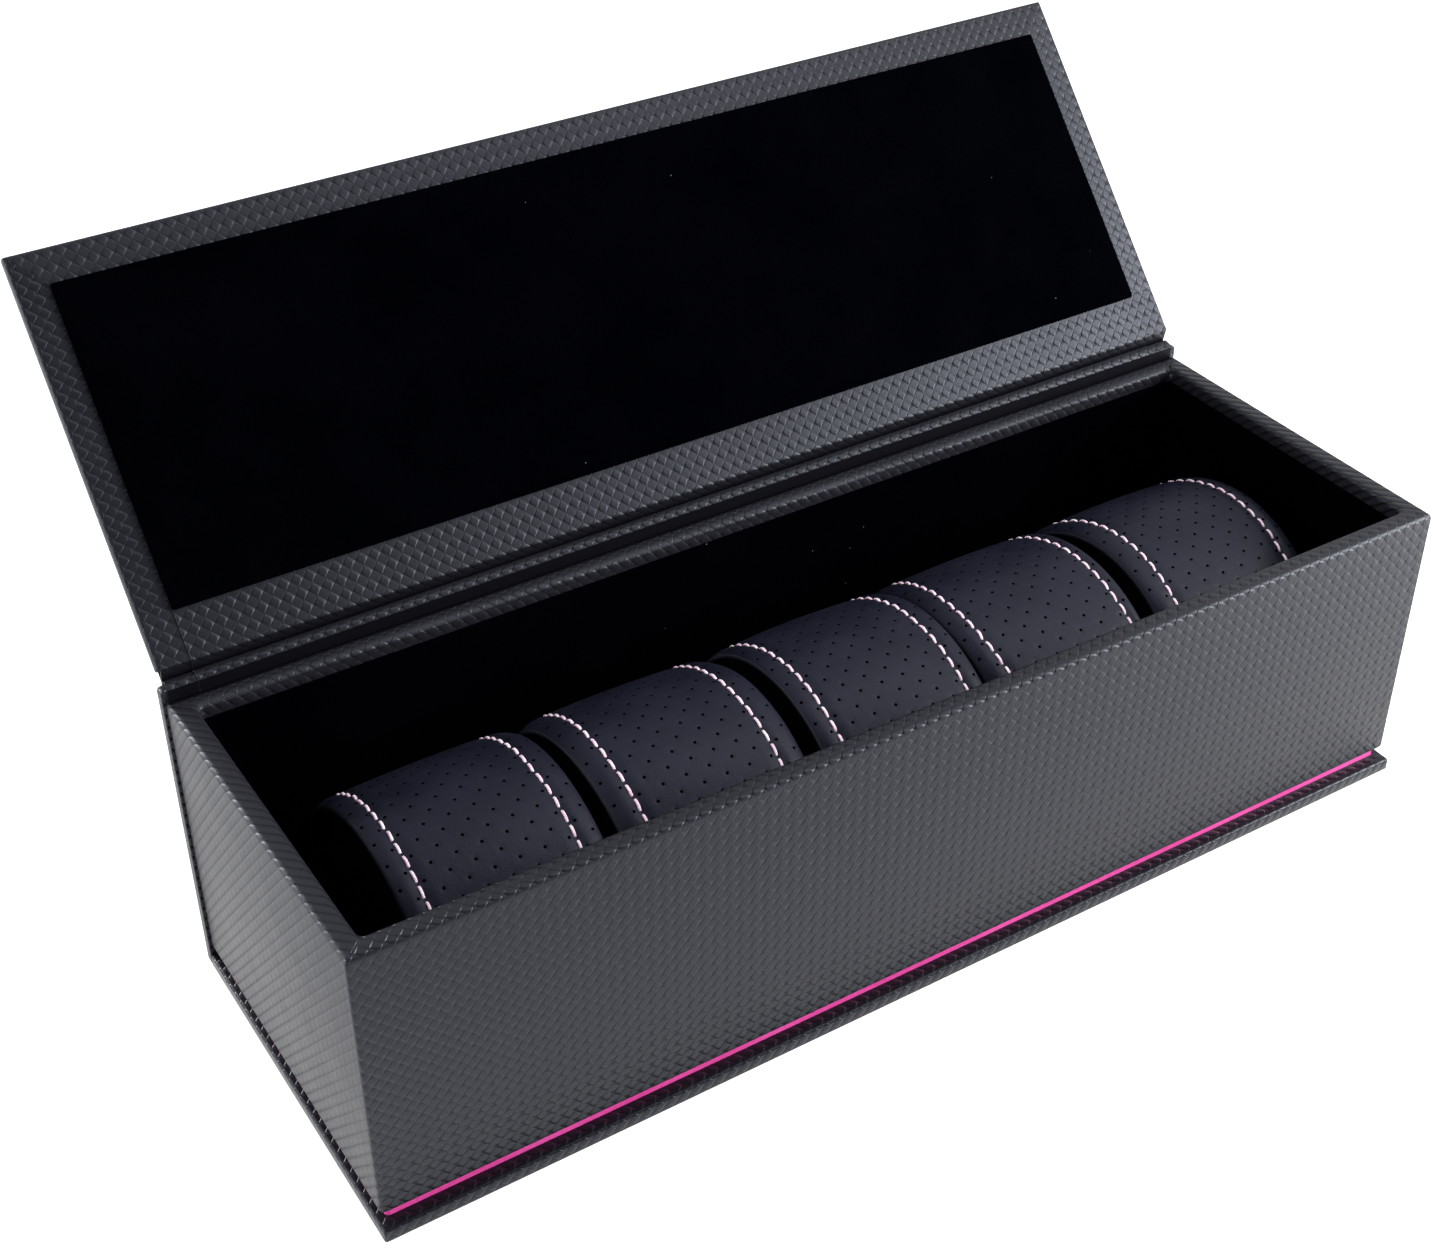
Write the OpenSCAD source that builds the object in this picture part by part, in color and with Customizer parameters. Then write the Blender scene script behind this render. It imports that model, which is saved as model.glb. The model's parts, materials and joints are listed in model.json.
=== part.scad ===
// Watch box for five watches.
// A velvet-lined tray stands on a narrow plinth inside a wrapped board case.
// The case's spine carries the lid on a hinge made of its own covering,
// and each watch pillow is a foam roll in a stitched, perforated sleeve.
//
// +X runs along the box, +Y to the spine, +Z up. The origin is the centre of
// the underside, and the lid is drawn folded back to its resting angle.

/* [Pillows] */
// Width of one pillow along the box
pillow_w = 48.6; // [36:0.2:60]
// Depth of a pillow from front to back
pillow_depth = 69; // [64:0.5:84]
// Height of a pillow as it lies on the floor lining
pillow_height = 56.2; // [53:0.2:66]
// Radius of a pillow's rounded front and back
pillow_end_r = 25; // [20:0.5:26]
// How far the underside of a pillow is pressed flat
pillow_flat = 0.8; // [0.4:0.1:2]
// Space between neighbouring pillows
pillow_gap = 4.1; // [3:0.1:10]
// Thickness of the perforated sleeve
sleeve_t = 1.2; // [0.8:0.1:2]
// How far the end panels sit inside the sleeve's cut edges
end_inset = 1.4; // [0.6:0.1:3]
// Thickness of an end panel
end_t = 1.6; // [1:0.1:3]
// Distance from a sleeve's cut edge to the line of its seam
seam_inset = 5.7; // [4:0.1:9]
// Width of the seam's thread
thread_w = 0.9; // [0.5:0.1:1.2]
// Height of the thread above the sleeve
thread_proud = 0.3; // [0.1:0.05:0.35]
// Depth to which the seam pulls the sleeve in
seam_depth = 0.4; // [0.2:0.05:0.6]
// Space under the thread of a pillow as it lies in the tray
seat_room = 0.1; // [0.05:0.05:0.5]

/* [Tray] */
// Free space left of the pillows
left_room = 18; // [6:0.2:40]
// Free space right of the pillows
right_room = 10.8; // [6:0.2:40]
// Free space in front of the pillows
front_room = 8.9; // [5:0.1:20]
// Free space behind the pillows
back_room = 8.9; // [5:0.1:20]
// Height from the top of the pillows to the rim
head_room = 13.85; // [8:0.05:25]
// Thickness of the wall boards
wall_t = 4.5; // [4:0.1:6]
// Thickness of the floor board
floor_t = 4; // [2.5:0.1:6]
// Thickness of the velvet lining on its card
velvet_t = 0.9; // [0.5:0.1:1.5]
// Depth of the covering turned in below the rim
rim_turn = 4; // [2:0.2:8]
// Width of the covering turned in under the tray
foot_turn = 14; // [9:0.5:20]

/* [Covering] */
// Thickness of the embossed covering
cover_t = 0.5; // [0.3:0.05:0.7]
// Radius of the covered outer edges
edge_r = 1.1; // [0.8:0.1:1.4]

/* [Base] */
// Thickness of the base board
base_board_t = 2.75; // [2:0.05:5]
// Overhang of the base beyond each end of the tray
base_overhang = 0.7; // [0.4:0.05:3]
// Overhang of the base and of the lid in front of the tray
front_lip = 2.25; // [1:0.05:5]
// Width of the covering turned in under the base
base_turn = 15; // [8:0.5:25]
// Height of the plinth between base and tray
plinth_h = 2.8; // [1.5:0.1:6]
// How far the plinth's band sits inside the tray's faces
plinth_inset = 1.6; // [0.8:0.1:5]
// Thickness of the plinth's paper band
band_t = 0.4; // [0.3:0.05:0.8]

/* [Spine and hinge] */
// Thickness of the spine board
spine_board_t = 2.9; // [2:0.1:3.4]
// Distance of the hinge line behind the tray
hinge_back = 2.6; // [2.3:0.05:3]
// Height of the hinge line above the closed lid's inner face
hinge_up = 2.65; // [2.3:0.05:3]
// Height of the hinge line above the top of the spine
hinge_above = 0.3; // [0.1:0.05:1.5]
// How far the hinge strips stop short of the case's ends
hinge_inset = 1; // [0.5:0.1:4]
// Thickness of the inner hinge lining
lining_t = 0.3; // [0.2:0.05:0.3]
// Space between the hinge strips and the lid's edge
hinge_slack = 0.05; // [0.02:0.01:0.1]

/* [Lid] */
// Thickness of the lid board
lid_board_t = 2.3; // [2:0.1:4]
// How far the lid stops short of each end of the tray
lid_end_room = 0.2; // [0:0.05:1]
// Space between the rim and the closed lid
lid_gap = 0.45; // [0.4:0.05:0.8]
// Angle from closed to where the lid rests open
lid_open = 131.85; // [90:0.05:170]
// Distance of the closed lid's rear edge in front of the tray's rear face
lid_rear = 0.2; // [0.1:0.05:0.4]
// Space between the closed lid's velvet panel and the rim at each end
pad_side_room = 2.8; // [0.8:0.1:10]
// Space between the closed lid's velvet panel and the rim in front
pad_front_room = 1.15; // [0.9:0.05:10]
// Space between the closed lid's velvet panel and the rim at the back
pad_rear_room = 6.7; // [0.8:0.1:15]
// Thickness of the velvet panel's board
pad_board_t = 0.8; // [0.5:0.1:1.4]
// Width of the covering hidden under the velvet panel's edge
pad_lap = 5; // [2:0.5:10]

/* [Magnets] */
// Length of a catch magnet
magnet_len = 12; // [8:0.5:20]
// Width of a catch magnet
magnet_w = 2.6; // [2:0.1:3]
// Thickness of a catch magnet
magnet_t = 1.5; // [1:0.1:1.7]
// Distance of each magnet from the middle of the box
magnet_x = 70; // [40:1:100]
// Glue space around a magnet in its pocket
magnet_fit = 0.1; // [0.05:0.05:0.2]

/* [Hidden] */
$fn = 48;
PILLOWS = 5;
SKIN = 0.01;

BOARD = "#b9ae98";
COVER = "#303034";
VELVET = "#08080a";
LEATHER = "#2e3038";
THREAD = "#f3cfe0";
PINK = "#e2529f";
STEEL = "#a9abae";

// Each pillow stands a little off an even spacing, as a share of the gap.
pillow_drift = [0.02, 0.27, 0.34, -0.27, -0.05];
// The pillows rest this far above the lining, clear of their own thread.
seat_gap = thread_proud + seat_room;

// Pillow sections
half_depth = pillow_depth / 2;
half_height = (pillow_height + pillow_flat) / 2;
pillow_pitch = pillow_w + pillow_gap;
row_len = PILLOWS * pillow_w + (PILLOWS - 1) * pillow_gap;

// Tray
inner_len = left_room + row_len + right_room;
inner_depth = front_room + pillow_depth + back_room;
rim_t = cover_t + wall_t + cover_t;
lined_t = cover_t + wall_t + velvet_t;
tray_len = inner_len + 2 * lined_t;
tray_depth = inner_depth + 2 * lined_t;
base_t = base_board_t + 2 * cover_t;
tray_z = base_t + plinth_h;
board_z = tray_z + cover_t;
floor_z = board_z + floor_t + velvet_t;
pillow_z = floor_z + seat_gap;
rim_z = pillow_z + pillow_height + head_room;
row_x0 = -inner_len / 2 + left_room;
row_y = -inner_depth / 2 + front_room + half_depth;

// Case
front_y = -tray_depth / 2 - front_lip;
rear_y = tray_depth / 2;
base_len = tray_len + 2 * base_overhang;
spine_y = rear_y + spine_board_t + cover_t;
hinge_len = base_len - 2 * hinge_inset;

// Closed lid
lid_t = lid_board_t + 2 * cover_t;
lid_z = rim_z + lid_gap;
lid_board_z = lid_z + cover_t;
lid_len = tray_len - 2 * lid_end_room;
lid_y1 = rear_y - lid_rear;
lid_w = lid_y1 - front_y;
lid_y = (lid_y1 + front_y) / 2;
pivot_y = rear_y + hinge_back;
pivot_z = lid_z + hinge_up;
spine_z = pivot_z - hinge_above;
pad_x = tray_len / 2 - rim_t - pad_side_room;
pad_y0 = -tray_depth / 2 + rim_t + pad_front_room;
pad_y1 = tray_depth / 2 - rim_t - pad_rear_room;
window_x = pad_x - pad_lap;

// Boards
wall_z1 = rim_z - cover_t;
shell_len = tray_len - 2 * cover_t;
shell_depth = tray_depth - 2 * cover_t;
lined_len = shell_len - 2 * wall_t;
lined_depth = shell_depth - 2 * wall_t;
lining_z0 = board_z + floor_t;
lining_z1 = rim_z - rim_turn;

// Rounded rectangle about the origin
module rounded(l, d, r) {
    square([l - 2 * r, d], center = true);
    square([l, d - 2 * r], center = true);
    for (sx = [-1, 1], sy = [-1, 1])
        translate([sx * (l / 2 - r), sy * (d / 2 - r)]) circle(r);
}

// Block with every edge rounded, centred on X and Y and standing on Z = 0
module soft_block(l, d, h, r) {
    intersection() {
        linear_extrude(h) rounded(l, d, r);
        translate([0, d / 2, h / 2]) rotate([90, 0, 0]) linear_extrude(d) rounded(l, h, r);
        translate([-l / 2, 0, h / 2]) rotate([90, 0, 90]) linear_extrude(l) rounded(d, h, r);
    }
}

// Plain block from y0 to y1 and z0 to z1, centred on X
module slab(l, y0, y1, z0, z1) {
    translate([-l / 2, y0, z0]) cube([l, y1 - y0, z1 - z0]);
}

// Outline in Y and Z, drawn out along X
module along_x(l) {
    translate([-l / 2, 0, 0]) rotate([90, 0, 90]) linear_extrude(l) children();
}

// Children drawn on the closed lid, turned to the resting angle
module on_lid() {
    translate([0, pivot_y, pivot_z])
        rotate([-lid_open, 0, 0])
            translate([0, -pivot_y, -pivot_z]) children();
}

// Where a point [y, z] of the closed lid goes at the resting angle
function open_point(p) = [
    pivot_y + (p[0] - pivot_y) * cos(lid_open) + (p[1] - pivot_z) * sin(lid_open),
    pivot_z - (p[0] - pivot_y) * sin(lid_open) + (p[1] - pivot_z) * cos(lid_open)
];

// ---------------------------------------------------------------- base

module base_board() {
    color(BOARD)
        slab(base_len - 2 * cover_t, front_y + cover_t, rear_y, cover_t, cover_t + base_board_t);
}

module base_liner() {
    color(VELVET)
        slab(base_len - 2 * base_turn, front_y + base_turn, rear_y - base_turn, 0, cover_t);
}

module base_cover() {
    depth = rear_y - front_y;
    color(COVER)
        difference() {
            // the rear edge is square, because it meets the spine
            intersection() {
                translate([0, front_y + (depth + edge_r) / 2, 0])
                    soft_block(base_len, depth + edge_r, base_t, edge_r);
                slab(base_len, front_y, rear_y, 0, base_t);
            }
            base_board();
            slab(base_len - 2 * base_turn, front_y + base_turn, rear_y - base_turn, -SKIN, cover_t);
        }
}

module plinth_outline(inset) {
    rounded(tray_len - 2 * inset, tray_depth - 2 * inset, edge_r);
}

module plinth_board() {
    color(BOARD)
        translate([0, 0, base_t]) linear_extrude(plinth_h) plinth_outline(plinth_inset + band_t);
}

module plinth_band() {
    color(PINK)
        translate([0, 0, base_t])
            linear_extrude(plinth_h)
                difference() {
                    plinth_outline(plinth_inset);
                    plinth_outline(plinth_inset + band_t);
                }
}

// ---------------------------------------------------------------- spine and hinge

module spine_board() {
    color(BOARD)
        slab(base_len - 2 * cover_t, rear_y, rear_y + spine_board_t, cover_t, spine_z - lining_t);
}

module spine_cover() {
    depth = spine_y - rear_y;
    color(COVER)
        difference() {
            intersection() {
                translate([0, spine_y - (depth + edge_r) / 2, 0])
                    soft_block(base_len, depth + edge_r, spine_z + edge_r, edge_r);
                slab(base_len, rear_y, spine_y, 0, spine_z);
            }
            slab(base_len - 2 * cover_t, rear_y - SKIN, rear_y + spine_board_t, cover_t, spine_z + SKIN);
        }
}

// Outer strip, from the top of the spine's covering to the lid's rear edge
module hinge_cover() {
    edge = lid_y1 + hinge_slack;
    color(COVER)
        along_x(hinge_len)
            polygon([
                [spine_y, spine_z],
                open_point([edge, lid_z + lid_t]),
                open_point([edge, lid_z + lid_t - cover_t]),
                [spine_y - cover_t, spine_z]
            ]);
}

// Inner strip, over the top of the spine and up inside the outer strip
module hinge_lining() {
    edge = lid_y1 + hinge_slack;
    inner_y = spine_y - cover_t;
    inner_z = lid_z + lid_t - cover_t;
    color(COVER)
        along_x(2 * pad_x)
            polygon([
                [rear_y, spine_z - lining_t],
                [inner_y, spine_z - lining_t],
                [inner_y, spine_z],
                open_point([edge, inner_z]),
                open_point([edge, inner_z - lining_t]),
                [inner_y - lining_t, spine_z],
                [rear_y, spine_z]
            ]);
}

// ---------------------------------------------------------------- tray boards

module long_wall(side) {
    y0 = side > 0 ? shell_depth / 2 - wall_t : -shell_depth / 2;
    slab(shell_len, y0, y0 + wall_t, board_z, wall_z1);
}

module end_wall(side) {
    x0 = side > 0 ? shell_len / 2 - wall_t : -shell_len / 2;
    translate([x0, -lined_depth / 2, board_z]) cube([wall_t, lined_depth, wall_z1 - board_z]);
}

// Pockets and magnets share one shape, in the front wall and in the lid
module magnets(z0, grow) {
    y = -shell_depth / 2 + wall_t / 2;
    w = magnet_w + 2 * grow;
    l = magnet_len + 2 * grow;
    for (s = [-1, 1])
        translate([s * magnet_x - l / 2, y - w / 2, z0 - grow])
            cube([l, w, magnet_t + 2 * grow]);
}

wall_magnet_z = wall_z1 - magnet_t;

module wall_front() {
    color(BOARD)
        difference() {
            long_wall(-1);
            magnets(wall_magnet_z, magnet_fit);
        }
}

module wall_back() {
    color(BOARD) long_wall(1);
}

module wall_left() {
    color(BOARD) end_wall(-1);
}

module wall_right() {
    color(BOARD) end_wall(1);
}

module wall_magnets() {
    color(STEEL) magnets(wall_magnet_z, 0);
}

module floor_board() {
    color(BOARD) slab(lined_len, -lined_depth / 2, lined_depth / 2, board_z, lining_z0);
}

// ---------------------------------------------------------------- tray covering and lining

module tray_cover() {
    bored_l = tray_len - 2 * rim_t;
    bored_d = tray_depth - 2 * rim_t;
    foot_l = tray_len - 2 * foot_turn;
    foot_d = tray_depth - 2 * foot_turn;
    color(COVER)
        difference() {
            translate([0, 0, tray_z]) soft_block(tray_len, tray_depth, rim_z - tray_z, edge_r);
            // the space inside the rim, and the lined space below the turn-in
            slab(bored_l, -bored_d / 2, bored_d / 2, board_z, rim_z + SKIN);
            slab(lined_len, -lined_depth / 2, lined_depth / 2, board_z, lining_z1);
            // the window under the floor, inside the turn-in
            slab(foot_l, -foot_d / 2, foot_d / 2, tray_z - SKIN, board_z + SKIN);
            long_wall(-1);
            long_wall(1);
            end_wall(-1);
            end_wall(1);
        }
}

module lining_front() {
    color(VELVET)
        slab(lined_len, -lined_depth / 2, -lined_depth / 2 + velvet_t, lining_z0, lining_z1);
}

module lining_back() {
    color(VELVET)
        slab(lined_len, lined_depth / 2 - velvet_t, lined_depth / 2, lining_z0, lining_z1);
}

module end_lining(side) {
    x0 = side > 0 ? lined_len / 2 - velvet_t : -lined_len / 2;
    translate([x0, -inner_depth / 2, lining_z0])
        cube([velvet_t, inner_depth, lining_z1 - lining_z0]);
}

module lining_left() {
    color(VELVET) end_lining(-1);
}

module lining_right() {
    color(VELVET) end_lining(1);
}

module lining_floor() {
    color(VELVET) slab(inner_len, -inner_depth / 2, inner_depth / 2, lining_z0, floor_z);
}

// ---------------------------------------------------------------- lid

module lid_core() {
    l = lid_len - 2 * cover_t;
    slab(l, front_y + cover_t, lid_y1 - cover_t, lid_board_z, lid_board_z + lid_board_t);
}

module lid_board() {
    color(BOARD)
        on_lid() difference() {
            lid_core();
            magnets(lid_board_z, magnet_fit);
        }
}

module lid_cover() {
    color(COVER)
        on_lid() difference() {
            translate([0, lid_y, lid_z]) soft_block(lid_len, lid_w, lid_t, edge_r);
            lid_core();
            // the window inside the turned-in border
            slab(2 * window_x, pad_y0 + pad_lap, pad_y1 - pad_lap, lid_z - SKIN, lid_board_z);
        }
}

module lid_lining() {
    color(COVER) on_lid() slab(2 * pad_x, pad_y1, lid_y1 - edge_r, lid_z - lining_t, lid_z);
}

// The panel's board, and the hollow that it leaves in the velvet
module pad_core() {
    x = pad_x - velvet_t;
    slab(2 * x, pad_y0 + velvet_t, pad_y1 - velvet_t, lid_z - pad_board_t, lid_z);
}

module lid_pad() {
    color(BOARD) on_lid() pad_core();
}

module lid_velvet() {
    depth = pad_y1 - pad_y0;
    h = pad_board_t + velvet_t;
    color(VELVET)
        on_lid() difference() {
            translate([0, (pad_y0 + pad_y1) / 2, lid_z - h])
                intersection() {
                    soft_block(2 * pad_x, depth, 2 * h, velvet_t);
                    linear_extrude(h) square([2 * pad_x, depth], center = true);
                }
            pad_core();
        }
}

module lid_magnets() {
    color(STEEL) on_lid() magnets(lid_board_z, 0);
}

// ---------------------------------------------------------------- pillows

// Four-arc oval, a wide and b high from its centre, with ends of radius r
module oval(a, b, r) {
    c = a - r;
    big_r = (c * c + b * b - r * r) / (2 * (b - r));
    drop = big_r - b;
    joint_y = c * big_r / (big_r - r);
    for (s = [-1, 1]) translate([s * c, 0]) circle(r);
    intersection() {
        translate([0, -drop]) circle(big_r, $fn = 96);
        translate([0, drop]) circle(big_r, $fn = 96);
        square([2 * joint_y, 2 * b], center = true);
    }
}

// Section of a pillow, inset evenly from the sleeve's outer face
module roll(inset) {
    intersection() {
        oval(half_depth - inset, half_height - inset, pillow_end_r - inset);
        translate([-pillow_depth, pillow_flat - half_height + inset])
            square([2 * pillow_depth, 2 * pillow_height]);
    }
}

// Length l of a pillow's section about its own middle, for pillow number k
module pillow_run(k, l, x = 0) {
    middle = row_x0 + pillow_w / 2 + (k - 1) * pillow_pitch + pillow_drift[k - 1] * pillow_gap;
    translate([middle + x, row_y, pillow_z + half_height - pillow_flat]) along_x(l) children();
}

seam_x = pillow_w / 2 - seam_inset;
panel_x = pillow_w / 2 - end_inset - end_t / 2;
core_w = pillow_w - 2 * (end_inset + end_t);

module pillow_core(k) {
    color(VELVET) pillow_run(k, core_w) roll(sleeve_t);
}

module pillow_ends(k) {
    color(VELVET)
        for (s = [-1, 1])
            pillow_run(k, end_t, s * panel_x) roll(sleeve_t);
}

module pillow_sleeve(k) {
    color(LEATHER)
        difference() {
            pillow_run(k, pillow_w) difference() {
                roll(0);
                roll(sleeve_t);
            }
            for (s = [-1, 1])
                pillow_run(k, thread_w, s * seam_x) difference() {
                    roll(-1);
                    roll(seam_depth);
                }
        }
}

module pillow_stitching(k) {
    color(THREAD)
        for (s = [-1, 1])
            pillow_run(k, thread_w, s * seam_x) difference() {
                roll(-thread_proud);
                roll(seam_depth);
            }
}

// ---------------------------------------------------------------- output

base_board();
base_cover();
base_liner();
plinth_board();
plinth_band();
spine_board();
spine_cover();
hinge_cover();
hinge_lining();
wall_front();
wall_back();
wall_left();
wall_right();
floor_board();
tray_cover();
lining_front();
lining_back();
lining_left();
lining_right();
lining_floor();
wall_magnets();
lid_board();
lid_cover();
lid_lining();
lid_pad();
lid_velvet();
lid_magnets();
for (k = [1:PILLOWS]) {
    pillow_core(k);
    pillow_ends(k);
    pillow_sleeve(k);
    pillow_stitching(k);
}
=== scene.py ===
import json
import math

import bpy
import numpy as np
from mathutils import Matrix, Vector


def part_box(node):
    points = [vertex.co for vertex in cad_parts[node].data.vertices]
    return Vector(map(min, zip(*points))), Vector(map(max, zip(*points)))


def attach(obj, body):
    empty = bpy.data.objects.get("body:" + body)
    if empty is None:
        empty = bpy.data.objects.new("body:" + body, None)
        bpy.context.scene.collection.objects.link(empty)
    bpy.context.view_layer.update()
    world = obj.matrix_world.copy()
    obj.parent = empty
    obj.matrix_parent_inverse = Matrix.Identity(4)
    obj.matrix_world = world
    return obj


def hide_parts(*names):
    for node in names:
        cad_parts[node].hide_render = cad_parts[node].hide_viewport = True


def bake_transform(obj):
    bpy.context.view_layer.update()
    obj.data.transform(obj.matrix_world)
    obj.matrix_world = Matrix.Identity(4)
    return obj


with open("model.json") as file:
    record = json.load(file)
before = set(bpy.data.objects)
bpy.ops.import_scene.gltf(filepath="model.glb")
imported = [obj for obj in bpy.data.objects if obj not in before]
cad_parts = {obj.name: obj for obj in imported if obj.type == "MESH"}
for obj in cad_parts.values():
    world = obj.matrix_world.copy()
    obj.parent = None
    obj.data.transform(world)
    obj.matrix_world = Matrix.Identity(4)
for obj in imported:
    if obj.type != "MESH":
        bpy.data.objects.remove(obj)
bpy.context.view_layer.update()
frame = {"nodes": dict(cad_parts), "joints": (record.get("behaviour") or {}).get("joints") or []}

MM = 0.001


def node_box(node):
    """Lowest and highest corner of a CAD node, in millimetres."""
    low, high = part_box(node)
    return np.array(low) / MM, np.array(high) / MM


# ---------------- sizes from the frame

TRAY_LO, TRAY_HI = node_box("tray_cover")
BASE_LO, BASE_HI = node_box("base_cover")
SPINE_LO, SPINE_HI = node_box("spine_cover")
WALL_BOTTOM = node_box("wall_front")[0][2]

HINGE = next(j for j in frame["joints"] if j["name"] == "lid_hinge")
PIVOT_Y, PIVOT_Z = (v / MM for v in HINGE["pos_m"][1:])
LID_OPEN = -HINGE["range_deg"][0]

COVER_T = WALL_BOTTOM - TRAY_LO[2]
RIM_T = 5.5
EDGE_R = 1.1
CORNER_R = 1.3
TOP_CORNER_R = 0.7
RIM_CORNER_R = 2.0
LINING_T = 0.3


def outline_of(low, high, up=1):
    """A box's rectangle (x0, x1, y0, y1), or in X and Z where up is 2."""
    return low[0], high[0], low[up], high[up]


def turn_about_hinge(points, degrees):
    """Points turned about the hinge line, positive towards open."""
    points = np.array(points, float)
    a = math.radians(degrees)
    y = points[..., 1] - PIVOT_Y
    z = points[..., 2] - PIVOT_Z
    out = points.copy()
    out[..., 1] = PIVOT_Y + y * math.cos(a) + z * math.sin(a)
    out[..., 2] = PIVOT_Z - y * math.sin(a) + z * math.cos(a)
    return out


def opened(points):
    return turn_about_hinge(points, LID_OPEN)


def closed_box(node):
    """A lid node's box as it lies with the lid closed."""
    data = frame["nodes"][node].data
    points = np.array([v.co for v in data.vertices]) / MM
    points = turn_about_hinge(points, -LID_OPEN)
    return points.min(axis=0), points.max(axis=0)


LID_LO, LID_HI = closed_box("lid_cover")
LID_FOLD_Z = opened((0.0, LID_HI[1], LID_LO[2]))[2] - 0.1
PAD_LO, PAD_HI = closed_box("lid_velvet")

# ---------------- camera and light

CAMERA_AT = (-252.3, -354.6, 389.6)
CAMERA_YAW = 31.69
CAMERA_PITCH = 35.81
CAMERA_ROLL = -0.46
CAMERA_LENS = 55.67


def add_object(name, data, at=(0, 0, 0), aim=None):
    """A linked object at a place in metres, turned to look at aim."""
    obj = bpy.data.objects.new(name, data)
    bpy.context.scene.collection.objects.link(obj)
    obj.location = at
    if aim:
        obj.rotation_euler = (Vector(aim) - Vector(at)).to_track_quat("-Z", "Y").to_euler()
    return obj


def sheet(name, width, depth, material, at, aim=None):
    """A flat rectangle across its own Z axis."""
    x, y = width / 2, depth / 2
    data = bpy.data.meshes.new(name)
    data.from_pydata([(-x, -y, 0), (x, -y, 0), (x, y, 0), (-x, y, 0)], [], [(0, 1, 2, 3)])
    data.materials.append(material)
    return add_object(name, data, at, aim)


def add_camera():
    yaw, pitch, roll = (math.radians(v) for v in (CAMERA_YAW, CAMERA_PITCH, CAMERA_ROLL))
    data = bpy.data.cameras.new("camera")
    data.sensor_width = 36
    data.lens = CAMERA_LENS
    data.clip_start = 0.01
    data.clip_end = 50
    camera = add_object("camera", data)
    turn = Matrix.Rotation(-yaw, 4, "Z") @ Matrix.Rotation(math.pi / 2 - pitch, 4, "X")
    turn = turn @ Matrix.Rotation(roll, 4, "Z")
    camera.matrix_world = Matrix.Translation(Vector(CAMERA_AT) * MM) @ turn
    bpy.context.scene.camera = camera


def add_lamp(name, at, size, watts):
    """A soft rectangular lamp that lights the box's middle."""
    data = bpy.data.lights.new(name, "AREA")
    data.shape = "RECTANGLE"
    data.size, data.size_y = size
    data.energy = watts
    add_object(name, data, at, CENTRE).visible_camera = False


def add_flag(name, at, size):
    """A black card that only reflections see, as a photographer sets beside dark goods."""
    black = bpy.data.materials.new(name)
    black.use_nodes = True
    shader = black.node_tree.nodes["Principled BSDF"]
    shader.inputs["Base Color"].default_value = (0, 0, 0, 1)
    shader.inputs["Specular IOR Level"].default_value = 0
    flag = sheet(name, *size, black, at, CENTRE)
    flag.visible_camera = False
    flag.visible_diffuse = False
    flag.visible_shadow = False


def shader_node(tree, kind, **values):
    """A new node with the named inputs set."""
    node = tree.nodes.new("ShaderNode" + kind)
    for name, value in values.items():
        node.inputs[name].default_value = value
    return node


def sees_backdrop(tree):
    """1 where a camera, mirror or glass ray arrives, else 0."""
    path = shader_node(tree, "LightPath")
    total = path.outputs["Is Camera Ray"]
    for name in ("Is Glossy Ray", "Is Transmission Ray"):
        top = shader_node(tree, "Math")
        top.operation = "MAXIMUM"
        tree.links.new(total, top.inputs[0])
        tree.links.new(path.outputs[name], top.inputs[1])
        total = top.outputs[0]
    return total


def pick(tree, first, second):
    """The first shader, or the second for rays that see the backdrop."""
    mix = shader_node(tree, "MixShader")
    tree.links.new(sees_backdrop(tree), mix.inputs[0])
    tree.links.new(first.outputs[0], mix.inputs[1])
    tree.links.new(second.outputs[0], mix.inputs[2])
    return mix


WORLD_LEVEL = 0.55
BACKDROP = (1.0, 1.0, 1.0, 1.0)


def add_world():
    world = bpy.data.worlds.new("studio")
    bpy.context.scene.world = world
    world.use_nodes = True
    tree = world.node_tree
    tree.nodes.clear()
    light = shader_node(tree, "Background", Color=(1, 1, 1, 1), Strength=WORLD_LEVEL)
    backdrop = shader_node(tree, "Background", Color=BACKDROP, Strength=1)
    out = shader_node(tree, "OutputWorld")
    tree.links.new(pick(tree, light, backdrop).outputs[0], out.inputs["Surface"])


FLOOR_SIZE = 6.0
FLOOR_GLOW = 0.60
FLOOR_TINT = (0.86, 0.86, 0.86, 1)
FLOOR_DROP = 0.0002


def add_floor():
    """A matt floor that glows for the camera and for reflections."""
    material = bpy.data.materials.new("floor")
    material.use_nodes = True
    tree = material.node_tree
    tree.nodes.clear()
    matt = shader_node(tree, "BsdfDiffuse", Color=FLOOR_TINT)
    none = shader_node(tree, "Emission", Strength=0)
    glow = shader_node(tree, "Emission", Strength=FLOOR_GLOW)
    add = shader_node(tree, "AddShader")
    out = shader_node(tree, "OutputMaterial")
    tree.links.new(matt.outputs[0], add.inputs[0])
    tree.links.new(pick(tree, none, glow).outputs[0], add.inputs[1])
    tree.links.new(add.outputs[0], out.inputs["Surface"])
    sheet("floor", FLOOR_SIZE, FLOOR_SIZE, material, (0, 0, -FLOOR_DROP))


CENTRE = (0.0, 0.0, 0.06)

add_camera()
add_world()
add_floor()
add_lamp("lamp_right", (0.73, -0.41, 0.48), (0.35, 0.32), 9)
add_lamp("lamp_low_right", (0.80, -0.40, 0.18), (0.37, 0.22), 7)
add_lamp("lamp_left", (-1.1, 0.25, 0.30), (0.8, 0.4), 9)
add_lamp("lamp_back_left", (-0.55, 1.25, 0.35), (0.6, 0.5), 16)
add_lamp("lamp_top", (0.55, -0.08, 1.22), (0.55, 0.5), 4)
add_flag("flag_left", (-0.24, -0.64, 0.95), (1.4, 1.1))


# ---------------- material helpers

def node_method(operation):
    return lambda self, *others: self.graph.math(operation, self, *others)


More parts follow.
